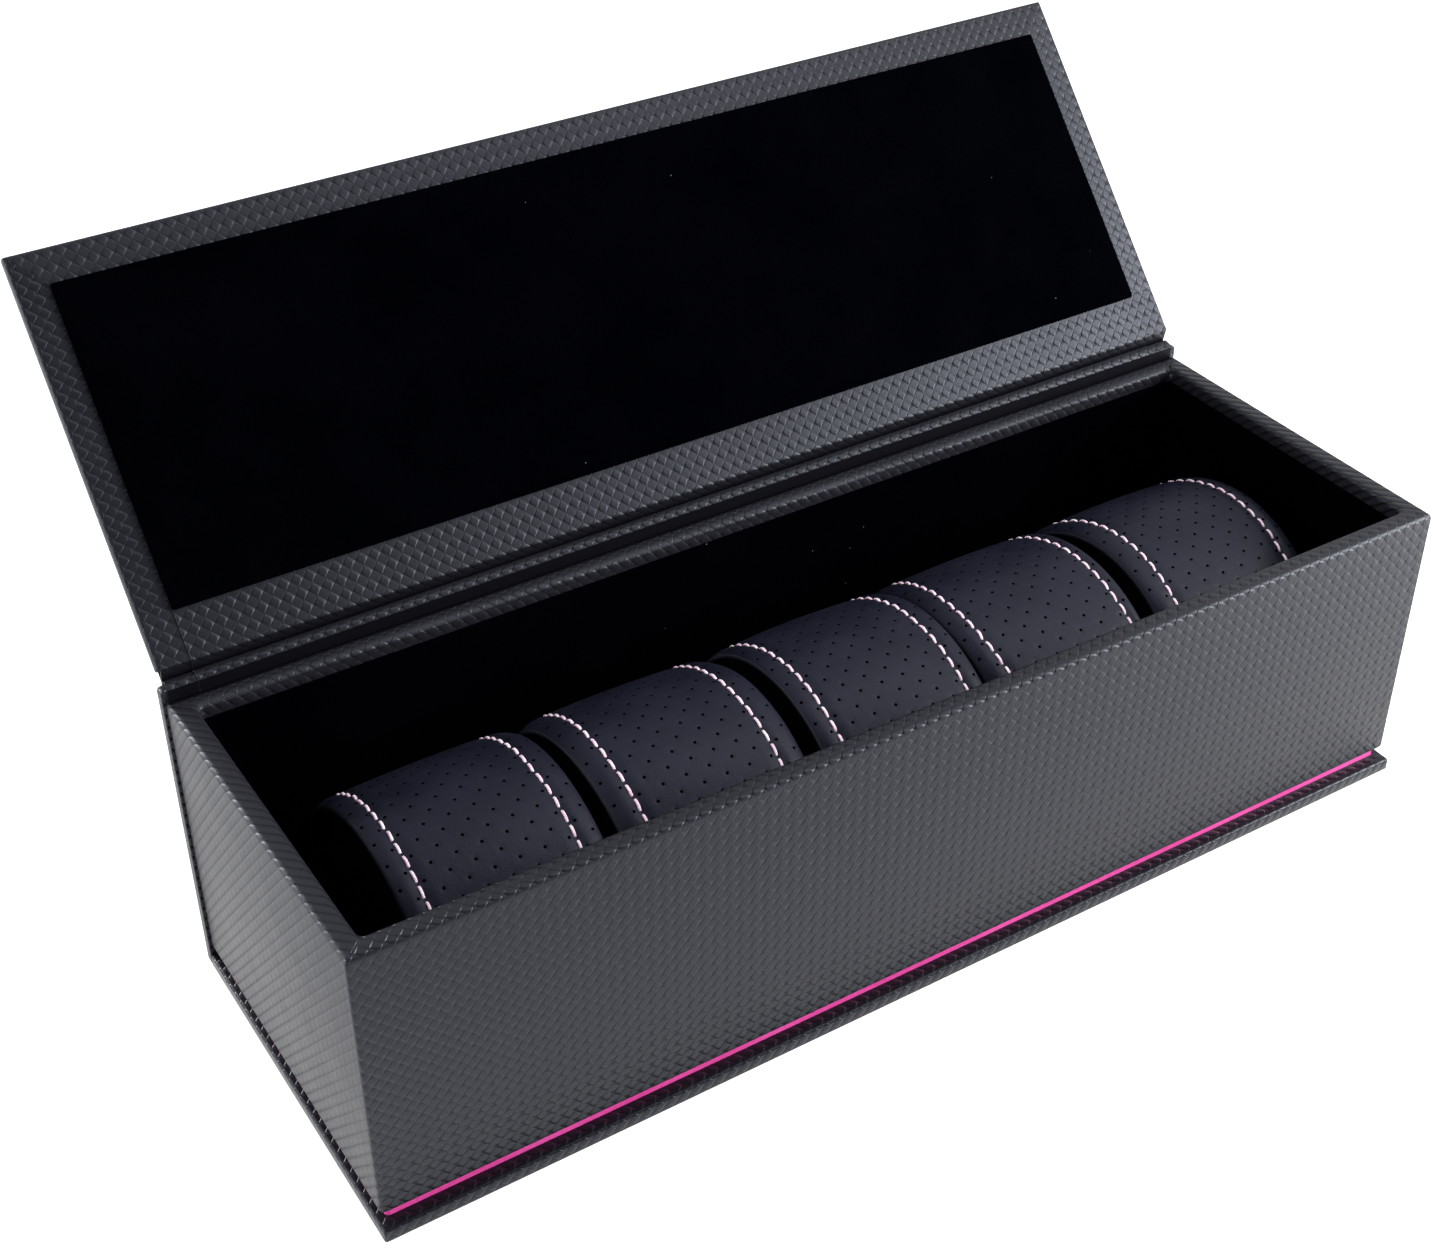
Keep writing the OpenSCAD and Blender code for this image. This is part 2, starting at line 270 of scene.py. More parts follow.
class Value:
    """A number that varies over a surface, made of Math nodes."""

    def __init__(self, graph, socket):
        self.graph = graph
        self.socket = socket

    __add__ = __radd__ = node_method("ADD")
    __sub__ = node_method("SUBTRACT")
    __mul__ = node_method("MULTIPLY")
    __truediv__ = node_method("DIVIDE")
    __pow__ = node_method("POWER")
    fract = node_method("FRACT")
    floor = node_method("FLOOR")
    abs = node_method("ABSOLUTE")
    sin = node_method("SINE")
    max = node_method("MAXIMUM")
    over = node_method("GREATER_THAN")

    def __rsub__(self, other):
        return self.graph.math("SUBTRACT", other, self)

    def ramp(self, low, high, out_low=0.0, out_high=1.0):
        """Smooth step from low to high."""
        node = self.graph.node("MapRange")
        node.interpolation_type = "SMOOTHSTEP"
        self.graph.link(self.socket, node.inputs["Value"])
        ends = {"From Min": low, "From Max": high, "To Min": out_low, "To Max": out_high}
        for end, value in ends.items():
            node.inputs[end].default_value = value
        return Value(self.graph, node.outputs["Result"])


class Graph:
    """The nodes of one material, ending in a Principled shader."""

    def __init__(self, name):
        self.material = bpy.data.materials.new(name)
        self.material.use_nodes = True
        self.tree = self.material.node_tree
        self.shader = self.tree.nodes["Principled BSDF"]

    def node(self, kind, **values):
        return shader_node(self.tree, kind, **values)

    def link(self, source, target):
        self.tree.links.new(source, target)

    def math(self, operation, *terms):
        node = self.node("Math")
        node.operation = operation
        for socket, term in zip(node.inputs, terms):
            if isinstance(term, Value):
                self.link(term.socket, socket)
            else:
                socket.default_value = term
        return Value(self, node.outputs[0])

    def set(self, **values):
        """Sets shader sockets, spelt with _ for a space."""
        for name, value in values.items():
            self.shader.inputs[name.replace("_", " ")].default_value = value

    def surface_mm(self):
        """Surface coordinates in millimetres, from the mesh's UV map."""
        node = self.node("TexCoord")
        split = self.node("SeparateXYZ")
        self.link(node.outputs["UV"], split.inputs[0])
        return Value(self, split.outputs[0]), Value(self, split.outputs[1])

    def space(self):
        """Object coordinates, in metres."""
        return self.node("TexCoord").outputs["Object"]

    def noise(self, size_mm, detail, rough):
        """Noise from 0 to 1 with features of about size_mm."""
        node = self.node("TexNoise", Scale=1 / (size_mm * MM), Detail=detail, Roughness=rough)
        self.link(self.space(), node.inputs["Vector"])
        return Value(self, node.outputs["Fac"])

    def cells(self, size_mm, output="Distance"):
        """Distance to the middle of a cell of about size_mm, or its own number."""
        node = self.node("TexVoronoi", Scale=1 / (size_mm * MM))
        self.link(self.space(), node.inputs["Vector"])
        return Value(self, node.outputs[output])

    def attribute(self, name):
        """A mark that the mesh carries, 0 where it carries none."""
        node = self.node("Attribute")
        node.attribute_name = name
        return Value(self, node.outputs["Fac"])

    def mix(self, amount, first, second):
        """Colour from first to second. Each is a colour or a colour socket."""
        node = self.node("Mix")
        node.data_type = "RGBA"
        self.link(amount.socket, node.inputs["Factor"])
        for socket, value in zip(node.inputs[6:8], (first, second)):
            if isinstance(value, tuple):
                socket.default_value = (*value, 1)
            else:
                self.link(value, socket)
        return node.outputs[2]

    def color(self, socket):
        self.link(socket, self.shader.inputs["Base Color"])

    def rough(self, value):
        self.link(value.socket, self.shader.inputs["Roughness"])

    def bump(self, height, depth_mm):
        node = self.node("Bump", Strength=1.0, Distance=depth_mm * MM)
        self.link(height.socket, node.inputs["Height"])
        self.link(node.outputs[0], self.shader.inputs["Normal"])


# ---------------- materials

WEAVE_U = 3.3
WEAVE_V = 3.4
WEAVE_DEPTH = 0.45
PROUD_TILE = 0.55
LOW_TILE = 0.16
PIT_DEPTH = 0.45
PIT_REACH = (0.9, 2.0)
STRIPE_HEIGHT = 1.6
COVER_GLOSS = 0.28
# the shine of the covering's darker copy, which serves as painted shade
SHADED_COVER_GLOSS = 0.05
# the covering's colour in its hollows and painted shade, then on its raised tiles
COVER_DARK = (0.0045, 0.0045, 0.0064)
COVER_LIGHT = (0.0088, 0.0088, 0.0118)
PALE_FRAY = (0.10, 0.10, 0.105)
COOL_SHINE = (0.78, 0.83, 1.0, 1)


def weave_height(g):
    """A weave at 45 degrees, or its one run alone where the mesh is marked stripe."""
    u, v = g.surface_mm()
    u, v = u / WEAVE_U, v / WEAVE_V
    rise, fall = u + v, u - v
    odd = ((rise.floor() + fall.floor()) / 2).fract().over(0.25)
    p, q = (rise.fract() * 2) - 1, (fall.fract() * 2) - 1
    a, b = p.abs(), q.abs()
    # every other tile stands proud, and all dip to the pits at its two ends
    dome = (1 - a ** 3) * (1 - b ** 10)
    low = (1 - a * a) * (1 - b ** 6)
    pit_a = (p + q).abs().ramp(*PIT_REACH)
    pit_b = (p - q).abs().ramp(*PIT_REACH)
    proud = dome * PROUD_TILE - pit_a * PIT_DEPTH
    flat = low * LOW_TILE - pit_b * PIT_DEPTH
    weave = proud * odd + flat * (1 - odd) + PIT_DEPTH
    stripe = g.attribute("stripe")
    return weave * (1 - stripe) + (1 - b ** 3) * stripe * STRIPE_HEIGHT


def embossed_cover(name, gloss):
    """Dark embossed covering, with marks for what is flat, what is painted darker as painted
    shade, and what is frayed.
    """
    g = Graph(name)
    weave = weave_height(g)
    # the second mark is painted shade: it darkens the colour and smooths the relief
    flat, deep, fray = (g.attribute(mark) for mark in ("flat", "deep", "fray"))
    grain = g.noise(0.35, 3, 0.65)
    patches = g.noise(9, 3, 0.6)
    relief = (weave + grain * 0.1) * (1 - deep.max(flat))
    # the colour is painted darker in the weave's hollows and lighter on its raised tiles, as
    # painted shade, with random grain tone besides
    top = (weave.ramp(0.0, 0.6) * 0.7 + grain * 0.3) * (1 - deep)
    base = g.mix(top, COVER_DARK, COVER_LIGHT)
    loose = (fray * (g.noise(0.5, 4, 0.8) * 1.5)).ramp(0.60, 0.95)
    g.color(g.mix(loose, base, PALE_FRAY))
    g.rough((0.34 + patches * 0.10) - weave * 0.04 + flat * 0.12 - deep * 0.12 + loose * 0.3)
    g.bump(relief, WEAVE_DEPTH)
    g.set(Specular_IOR_Level=gloss, Specular_Tint=COOL_SHINE)
    return g.material


def velvet(name):
    """Black velvet with a few specks of dust."""
    g = Graph(name)
    pile = g.noise(0.5, 4, 0.7)
    sway = g.noise(26, 3, 0.6)
    base = g.mix((pile * 0.5 + sway * 0.5).ramp(0.35, 0.7), (0.0002, 0.0003, 0.0008),
                 (0.0008, 0.0009, 0.0016))
    near = g.cells(9)
    chance = g.cells(9, "Color")
    speck = near.ramp(0.012, 0.02, 1, 0) * chance.over(0.55)
    g.color(g.mix(speck, base, (0.16, 0.16, 0.17)))
    g.rough(0.9 + pile * 0.1)
    g.set(Specular_IOR_Level=0.0, Sheen_Weight=0.002, Sheen_Roughness=0.4)
    g.bump(pile, 0.12)
    return g.material


def leather(name):
    """Smooth charcoal leather of the sleeves, with a fine grain."""
    g = Graph(name)
    pebble = g.cells(0.7)
    grain = g.noise(0.4, 4, 0.6)
    cloud = g.noise(16, 3, 0.6)
    rub = g.attribute("wear_and_shade")
    base = g.mix(cloud.ramp(0.3, 0.7), (0.0052, 0.0060, 0.0135), (0.0090, 0.0098, 0.0195))
    base = g.mix((rub * (grain + 0.4)).ramp(0.3, 1.0), base, (0.030, 0.031, 0.040))
    g.color(base)
    g.rough(0.42 + cloud * 0.12 + rub * 0.1)
    g.set(Specular_IOR_Level=0.18, Specular_Tint=(0.84, 0.86, 1.0, 1))
    g.bump(pebble * 0.5 + grain * 0.5, 0.05)
    return g.material


def thread(name):
    """Pale pink plied thread, painted darker pink as painted shade on its underside and where
    each stitch dives into the leather.
    """
    g = Graph(name)
    u, v = g.surface_mm()
    ply = ((u * 1.15 + v * 0.9) * math.tau).sin()
    fuzz = g.noise(0.15, 3, 0.7)
    tint = g.noise(2.5, 2, 0.5)
    base = g.mix(tint.ramp(0.35, 0.7), (0.90, 0.66, 0.80), (0.97, 0.88, 0.94))
    # on the thread this mark is painted shade, on its underside and ends; on the leather it is
    # the paler worn cut edge
    edge = g.attribute("wear_and_shade")
    base = g.mix(edge, base, (0.42, 0.07, 0.24))
    g.color(base)
    g.rough(0.55 + fuzz * 0.2)
    g.set(Sheen_Weight=0.15, Sheen_Roughness=0.4)
    g.bump(ply * 0.35 + fuzz * 0.3, 0.1)
    return g.material


def dark_fabric(name, colour):
    """Matt knitted cloth."""
    g = Graph(name)
    knit = g.noise(0.6, 4, 0.7)
    paler = tuple(c * 2.2 for c in colour)
    g.color(g.mix(knit.ramp(0.35, 0.7), colour, paler))
    g.rough(0.8 + knit * 0.15)
    g.set(Specular_IOR_Level=0.04)
    g.bump(knit, 0.1)
    return g.material


def paper(name, colour, fleck, roughness):
    """Paper or board with short fibres."""
    g = Graph(name)
    fibre = g.noise(0.9, 5, 0.7)
    cloud = g.noise(18, 2, 0.5)
    g.color(g.mix((fibre * 0.6 + cloud * 0.4).ramp(0.35, 0.68), colour, fleck))
    g.rough(roughness + fibre * 0.15)
    g.bump(fibre, 0.03)
    return g.material


def metal(name):
    """Scuffed steel."""
    g = Graph(name)
    scuff = g.noise(0.8, 4, 0.7)
    g.color(g.mix(scuff, (0.42, 0.43, 0.44), (0.62, 0.63, 0.64)))
    g.set(Metallic=1.0)
    g.rough(0.3 + scuff * 0.2)
    g.bump(scuff, 0.02)
    return g.material


COVER = embossed_cover("embossed_cover", COVER_GLOSS)
# a darker, less shiny copy of the covering, as painted shade on faces marked for it
SHADED_COVER = embossed_cover("cover_with_painted_shade", SHADED_COVER_GLOSS)
VELVET = velvet("velvet")
LEATHER = leather("perforated_leather")
THREAD = thread("thread")
CUSHION = dark_fabric("pillow_end", (0.0012, 0.0012, 0.0016))
# near black: painted shade on the holes' walls, while each hole's floor stands for the black
# core below
HOLE_SHADE = dark_fabric("hole", (0.002, 0.002, 0.002))
BOARD = paper("board", (0.30, 0.26, 0.20), (0.46, 0.41, 0.33), 0.75)
LINER = paper("liner_paper", (0.014, 0.014, 0.015), (0.026, 0.026, 0.028), 0.6)
PINK = paper("pink_band", (0.72, 0.055, 0.32), (0.85, 0.10, 0.42), 0.3)
STEEL = metal("magnet")


# ---------------- mesh helpers

def volume_of(points, faces):
    """Signed volume of a closed mesh: negative where its faces look inwards."""
    points = np.asarray(points, float)
    corners = [(f[0], one, two) for f in faces for one, two in zip(f[1:], f[2:])]
    a, b, c = (points[np.array(k)] for k in zip(*corners))
    return float(np.einsum("ij,ij->i", a, np.cross(b, c)).sum()) / 6


def mesh(name, points, faces, materials, uvs=None, index=None, marks=None, sharp=50):
    """A mesh object from points in millimetres. uvs holds one pair per loop."""
    data = bpy.data.meshes.new(name)
    data.from_pydata((np.asarray(points, float) * MM).tolist(), [], [list(f) for f in faces])
    if uvs is not None:
        layer = data.uv_layers.new(name="UVMap")
        layer.data.foreach_set("uv", np.asarray(uvs, float).ravel())
    for material in materials:
        data.materials.append(material)
    if index is not None:
        data.polygons.foreach_set("material_index", index)
    for mark, values in (marks or {}).items():
        layer = data.attributes.new(mark, "FLOAT", "POINT")
        layer.data.foreach_set("value", np.asarray(values, float))
    if volume_of(points, faces) < 0:
        data.flip_normals()
    data.shade_smooth()
    data.set_sharp_from_angle(angle=math.radians(sharp))
    return add_object(name, data)


def bridge(one, two):
    """Faces between two rings of point numbers."""
    count = len(one)
    return [[one[m], one[(m + 1) % count], two[(m + 1) % count], two[m]]
            for m in range(count)]


def tube(count, rings):
    """Faces between rings of count points each, one after the other."""
    rows = [range(n * count, (n + 1) * count) for n in range(rings)]
    return [face for one, two in zip(rows, rows[1:]) for face in bridge(one, two)]


class Assembly:
    """Points and faces gathered bit by bit and then made into one object."""

    def __init__(self):
        self.points, self.uvs, self.wear_and_shade = [], [], []
        self.faces, self.index = [], []
        self.total = 0

    def add(self, points, u, v, wear_and_shade=0.0):
        """Adds points and returns their numbers."""
        count = len(points)
        self.points.append(points)
        self.uvs.append(np.stack([u, v], -1))
        self.wear_and_shade.append(np.broadcast_to(wear_and_shade, count))
        self.total += count
        return list(range(self.total - count, self.total))

    def face(self, corners, material=0):
        self.faces.append(corners)
        self.index.append(material)

    def mesh(self, name, materials, sharp):
        loops = np.concatenate([np.array(face) for face in self.faces])
        return mesh(name, np.vstack(self.points), self.faces, materials,
                    np.vstack(self.uvs)[loops], self.index,
                    {"wear_and_shade": np.concatenate(self.wear_and_shade)}, sharp)


def soft_noise(points, size, seed):
    """Smooth repeatable waves over space, about -1 to 1."""
    points = np.asarray(points, float)
    rng = np.random.RandomState(seed)
    total = np.zeros(points.shape[:-1])
    for k in range(6):
        turn = rng.normal(size=3)
        turn *= math.tau / (size * rng.uniform(0.7, 1.6)) / np.linalg.norm(turn)
        total += np.sin(points @ turn + rng.uniform(0, math.tau))
    return total / 3


# Where the rounded corner's points lie, close together round the mitre
MITRE = (0, 15, 30, 41, 45, 49, 60, 75, 90)
MITRE_MID = MITRE.index(45)

# A ring's corners, counted from the front right, and the sides between them
CORNERS = [k * len(MITRE) + MITRE_MID for k in range(4)]
RIGHT = slice(CORNERS[0], CORNERS[1])
BACK = slice(CORNERS[1], CORNERS[2])
LEFT = slice(CORNERS[2], CORNERS[3])
BACK_CORNERS = slice(CORNERS[1], CORNERS[2] + 1)

# How strongly each mark shows, from 0 to 1
# the next two marks darken the covering as painted shade
PAINTED_SHADE_MARK = 0.6
BACK_PAINTED_SHADE_MARK = 0.8
FLAT_MARK = 0.35
BACK_FLAT_MARK = 0.55
LEFT_FLAT_MARK = 0.7


def ring_points(rect, radius):
    """Points round a rectangle (x0, x1, y0, y1), from the front right on."""
    x0, x1, y0, y1 = rect
    centres = [(x1 - radius, y0 + radius, -90), (x1 - radius, y1 - radius, 0),
               (x0 + radius, y1 - radius, 90), (x0 + radius, y0 + radius, 180)]
    points = []
    for cx, cy, start in centres:
        for a in MITRE:
            t = math.radians(start + a)
            points.append((cx + radius * math.cos(t), cy + radius * math.sin(t)))
    return np.array(points)


# faces marked with more painted shade than this take the covering's darker copy
PAINTED_SHADE_LIMIT = 0.5


def in_painted_shade(faces, deep):
    """Material numbers: 1 for faces wholly marked with painted shade, which take the covering's
    darker, less shiny copy, else 0.
    """
    return [int(min(deep[k] for k in face) > PAINTED_SHADE_LIMIT) for face in faces]


def sweep_marks(shape, mids, fray=(), deep=(), flat=(), side_flat=(), deep_back=(), soft=0.0,
                stripe=0.0):
    """The marks of a sweep's points, given its step numbers.

    fray steps fray round the corners mids. deep steps carry painted shade, and
    deep_back ones carry it only along the back. flat ones are smooth, side_flat
    ones more so along the back and left, and soft smooths the whole. stripe
    brings out one run of the weave on the two ends.
    """
    marks = {mark: np.zeros(shape) for mark in ("fray", "deep", "flat", "stripe")}
    marks["flat"][:] = soft
    for n in fray:
        for m in mids:
            marks["fray"][n][m - 1:m + 2] = 1
    for n in deep:
        marks["deep"][n] = PAINTED_SHADE_MARK
    for n in deep_back:
        marks["deep"][n][BACK_CORNERS] = BACK_PAINTED_SHADE_MARK
    for n in flat:
        marks["flat"][n] = FLAT_MARK
    for n in side_flat:
        marks["flat"][n][BACK] = BACK_FLAT_MARK
        marks["flat"][n][LEFT] = LEFT_FLAT_MARK
    for side in (RIGHT, LEFT):
        marks["stripe"][:, side] = stripe
    return marks


def groove_mitres(rings, numbers, mids, middle, groove):
    """Sinks the mitre lines of the numbered rings at the corners mids."""
    before = rings.copy()
    for n in numbers:
        low, high = before[max(n - 1, 0)], before[min(n + 1, len(rings) - 1)]
        for m in mids:
            inward = np.sign(middle - before[n][m][:2]) / math.sqrt(2)
            inset = (high[m][:2] - low[m][:2]) @ inward
            rise = high[m][2] - low[m][2]
            length = max(math.hypot(inset, rise), 1e-9)
            rings[n][m][:2] += inward * rise / length * groove
            rings[n][m][2] -= inset / length * groove


def sweep(name, steps, rect, materials, place=None, capped=False, mitre=(), groove=0.0,
          corners=(0, 1, 2, 3), turn=(0, 0, 0, 0), sharp=50, **marked):
    """A profile taken round a rectangle.

    steps: (inset, height, corner radius), where inset is one number or
    (left, right, front, back). A sweep that isn't capped closes on itself.
    mitre holds the numbers of the steps that are grooved at the named
    corners, counted from the front right, and groove is positive where the
    profile climbs its outside. turn is how far the weave is turned on the
    front, right, back and left. marked is what sweep_marks takes.
    """
    x0, x1, y0, y1 = rect
    rings, lengths = [], [0.0]
    for n, (inset, z, radius) in enumerate(steps):
        left, right, front, back = inset if np.ndim(inset) else (inset,) * 4
        ring = ring_points((x0 + left, x1 - right, y0 + front, y1 - back), radius)
        rings.append(np.column_stack([ring, np.full(len(ring), float(z))]))
        if n:
            before = steps[n - 1]
            side = before[0][2] if np.ndim(before[0]) else before[0]
            lengths.append(lengths[-1] + math.hypot(front - side, z - before[1]))
    rings = np.array(rings)
    count, around = rings.shape[:2]
    mids = [CORNERS[c] for c in corners]
    groove_mitres(rings, mitre, mids, np.array([(x0 + x1) / 2, (y0 + y1) / 2]), groove)
    marks = sweep_marks((count, around), mids, **marked)
    starts = np.cumsum([0, x1 - x0, y1 - y0, x1 - x0])

    def uv_of(side, n, m):
        """Way round the box and up the profile, turned as that side's weave is."""
        x, y = rings[n][m][:2]
        u = (x - x0, y - y0, x1 - x, y1 - y)[side] + starts[side]
        v = lengths[n]
        ca, sa = math.cos(math.radians(turn[side])), math.sin(math.radians(turn[side]))
        return (u * ca - v * sa, u * sa + v * ca)

    faces, uvs = [], []
    for n in range(count - 1):
        for m in range(around):
            m2 = (m + 1) % around
            corner, step = divmod(m, len(MITRE))
            side = (corner + (1 if step >= MITRE_MID else 0)) % 4
            quad = [(n, m), (n, m2), (n + 1, m2), (n + 1, m)]
            faces.append([a * around + b for a, b in quad])
            uvs += [uv_of(side, a, b) for a, b in quad]
    if capped:
        for n, order in ((0, range(around)[::-1]), (count - 1, range(around))):
            faces.append([n * around + m for m in order])
            uvs += [(rings[n][m][0], rings[n][m][1] + lengths[n]) for m in order]
    else:
        faces += bridge(range((count - 1) * around, count * around), range(around))
        uvs += [(0, 0)] * 4 * around
    points = rings.reshape(-1, 3)
    if place:
        points = place(points)
    # faces wholly marked with painted shade take the covering's darker copy
    index = in_painted_shade(faces, marks["deep"].ravel()) if len(materials) > 1 else None
    return mesh(name, points, faces, materials, uvs, index,
                {mark: values.ravel() for mark, values in marks.items()}, sharp)


def arc_steps(inset0, z0, radius, start, stop, corner, parts=5):
    """Steps along a rounded edge: inset and height round a centre."""
    out = []
    for k in range(parts + 1):
        t = math.radians(start + (stop - start) * k / parts)
        out.append((inset0 - radius * math.cos(t), z0 + radius * math.sin(t), corner))
    return out


# ---------------- tray covering

BACK_RIM_SLIM = 0.1
BACK_RIM_ROLL = 1.6
RIM_R = 1.25
RIM_GROOVE = 0.1
RIM_SINK = 0.2
TRAY_TURN_IN = 4.0
TRAY_FOOT = 14.0
TRAY_STRIPE = 0.75
TRAY_WEAVE_TURN = (0.5, 3.5, 3.5, -2.0)


def tray_covering():
    """The covering from the foot up, over the rim and down inside, with its thickness."""
    z0, z1 = TRAY_LO[2], TRAY_HI[2]
    rect = outline_of(TRAY_LO, TRAY_HI)
    inside = np.array([RIM_T, RIM_T, RIM_T, RIM_T - BACK_RIM_SLIM])
    steps = [(TRAY_FOOT, z0, CORNER_R)]
    steps += arc_steps(EDGE_R, z0 + EDGE_R, EDGE_R, -90, 0, CORNER_R)
    first_rim = len(steps)
    for inset, z, corner in arc_steps(RIM_R, z1 - RIM_R, RIM_R, 0, 90, TOP_CORNER_R):
        steps.append(((inset, inset, inset, inset * BACK_RIM_ROLL), z, corner))
    last_rim = len(steps)
    for reach, z, corner in arc_steps(0, z1 - RIM_R, RIM_R, 90, 180, RIM_CORNER_R):
        rolled = (RIM_R - reach) * np.array([1, 1, 1, BACK_RIM_ROLL])
        steps.append((tuple(inside - rolled), z, corner))
    last_roll = len(steps)
    back = inside - COVER_T
    steps += [(tuple(inside), z1 - TRAY_TURN_IN, RIM_CORNER_R),
              (tuple(back), z1 - TRAY_TURN_IN, RIM_CORNER_R),
              (tuple(back), z1 - RIM_R, RIM_CORNER_R),
              (tuple(inside / 2), z1 - COVER_T - RIM_SINK, CORNER_R),
              (COVER_T, z1 - RIM_R, CORNER_R), (COVER_T, z0 + COVER_T, CORNER_R),
              (TRAY_FOOT, z0 + COVER_T, CORNER_R)]
    # the back rim's outer rounding is painted darker, as painted shade, and takes the covering's
    # darker copy
    obj = sweep("tray_covering", steps, rect, [COVER, SHADED_COVER],
                mitre=range(last_rim - 2, last_roll), groove=RIM_GROOVE, turn=TRAY_WEAVE_TURN,
                flat=range(first_rim, last_roll), side_flat=range(first_rim, last_roll + 1),
                deep_back=range(first_rim, last_rim - 1), stripe=TRAY_STRIPE)
    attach(obj, "case")
    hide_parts("tray_cover")


# ---------------- covered boards

BOARD_CORNER_R = 0.5
BOARD_GROOVE = 0.16
LID_SOFT = 0.50
LID_LAP = 5.0
BASE_TURN_IN = 15.0
BASE_EDGE_R = 0.7
SPINE_LAP = 0.12
SPINE_CORNER_R = 1.0
SPINE_NEAR_R = 0.3
SPINE_WINDOW = (6.0, 6.0, 6.0, 10.0)


def covered_board(name, rect, z0, z1, window, place, corner=BOARD_CORNER_R, mitred=(),
                  near_r=EDGE_R, far_r=EDGE_R, deep=False, soft=0.0):
    """A board wrapped in covering, open under the window (left, right, front, back).

    The outer face is capped, and so is the cavity's far face, so the two meet
    only round the window. near_r rounds the edge beside the window and far_r
    the other one. With deep set, the board is painted darker all over but
    beside its window, as painted shade.
    """
    r, t = far_r, COVER_T
    steps = [(window, z0 + t, corner), (t, z0 + t, corner), (t, z1 - t, corner)]
    shell = [(window, z0, corner)]
    shell += arc_steps(near_r, z0 + near_r, near_r, -90, 0, corner)
    shell += arc_steps(r, z1 - r, r, 0, 90, corner)
    shell.reverse()
    steps = shell + steps
    last = len(shell) - 1
    return sweep(name, steps, rect, [COVER], place, capped=True, mitre=(last - 1, last),
                 groove=-BOARD_GROOVE, corners=mitred, fray=(last - 1, last),
                 deep=range(last - 1) if deep else (), soft=soft)


def lid_covering():
    rect = outline_of(LID_LO, LID_HI)
    window = (PAD_LO[0] + LID_LAP - rect[0], rect[1] - PAD_HI[0] + LID_LAP,
              PAD_LO[1] + LID_LAP - rect[2], rect[3] - PAD_HI[1] + LID_LAP)
    obj = covered_board("lid_covering", rect, LID_LO[2], LID_HI[2], window, opened,
                        mitred=(0, 3), soft=LID_SOFT)
    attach(obj, "lid")
    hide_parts("lid_cover")


def base_covering():
    rect = outline_of(BASE_LO, BASE_HI)
    # the base's top and outer edges are painted darker, as painted shade
    obj = covered_board("base_covering", rect, BASE_LO[2], BASE_HI[2], (BASE_TURN_IN,) * 4,
                        None, mitred=(0, 1, 2, 3), near_r=BASE_EDGE_R, far_r=BASE_EDGE_R,
                        deep=True)
    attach(obj, "case")
    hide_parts("base_cover")


def spine_covering():
    """The spine stands up, so its board is swept flat and then stood on edge."""
    rect = outline_of(SPINE_LO, SPINE_HI, up=2)

    def stand(points):
        return points[:, [0, 2, 1]]

    obj = covered_board("spine_covering", rect, SPINE_LO[1] - SPINE_LAP, SPINE_HI[1],
                        SPINE_WINDOW, stand, corner=SPINE_CORNER_R, near_r=SPINE_NEAR_R)
    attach(obj, "case")
    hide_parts("spine_cover")


# ---------------- hinge strips

def rounded_path(corners, radius, parts=4):
    """A polyline (y, z) with its corners rounded."""
    corners = [np.array(c, float) for c in corners]
    out = [corners[0]]
    for before, at, after in zip(corners, corners[1:], corners[2:]):
        one = before - at
        two = after - at
        cut = min(radius, np.linalg.norm(one) / 2.1, np.linalg.norm(two) / 2.1)
        one = at + one / np.linalg.norm(one) * cut
        two = at + two / np.linalg.norm(two) * cut
        for k in range(parts + 1):
            t = k / parts
            out.append(one * (1 - t) ** 2 + at * 2 * t * (1 - t) + two * t * t)
    out.append(corners[-1])
    return np.array(out)


END_STEP = 0.4
STRIP_WAVE = 0.04


def strip(name, path, deep, thick, half_x, side=1, parts=50, frayed=1.0):
    """A closed strip along X that follows path (y, z); thick is measured to its left.

    side is -1 to measure it to the right. frayed is how far its two ends are.
    """
    steps = np.diff(path, axis=0)
    lengths = np.concatenate([[0], np.cumsum(np.linalg.norm(steps, axis=1))])
    tangent = np.gradient(path, axis=0)
    tangent /= np.linalg.norm(tangent, axis=1)[:, None]
    normal = np.column_stack([-tangent[:, 1], tangent[:, 0]]) * side
    outline = np.vstack([path, (path + normal * thick)[::-1]])
    measure = np.concatenate([lengths, lengths[::-1]])
    xs = np.concatenate([[-half_x, -half_x + END_STEP],
                         np.linspace(-half_x, half_x, parts + 1)[1:-1],
                         [half_x - END_STEP, half_x]])
    count = len(outline)
    points, fray = [], []
    for n, x in enumerate(xs):
        ring = np.column_stack([np.full(count, x), outline])
        lift = soft_noise(ring, 14, 5)[:, None] * STRIP_WAVE
        ring[:, 1:] += np.vstack([normal, normal[::-1]]) * lift
        points.append(ring)
        fray.append(np.full(count, frayed if n in (0, len(xs) - 1) else 0.0))
    faces = tube(count, len(xs))
    along = [(x, length) for x in xs for length in measure]
    uvs = [along[k] for face in faces for k in face]
    for n in (0, len(xs) - 1):
        for m in range(count // 2 - 1):
            face = [n * count + k for k in (m, m + 1, count - 2 - m, count - 1 - m)]
            faces.append(face if n else face[::-1])
            uvs += [(0, 0)] * 4
    # the points marked here carry painted shade, and faces wholly in it take the covering's
    # darker copy
    dark = np.tile(np.concatenate([deep, deep[::-1]]), len(xs))
    marks = {"fray": np.concatenate(fray), "deep": dark, "flat": np.full(len(dark), LID_SOFT)}
    return mesh(name, np.vstack(points), faces, [COVER, SHADED_COVER], uvs, in_painted_shade(faces, dark),
                marks, sharp=40)


def yz(points):
    """Closed-lid (y, z) pairs, turned to where the lid rests."""
    points = np.array([(0.0, y, z) for y, z in points])
    return opened(points)[:, 1:]


HINGE_HALF_X = 149.0
ROLL_TOP = 1.35
OUTER_PROUD = 0.06
TURN_IN_SINK = 0.26


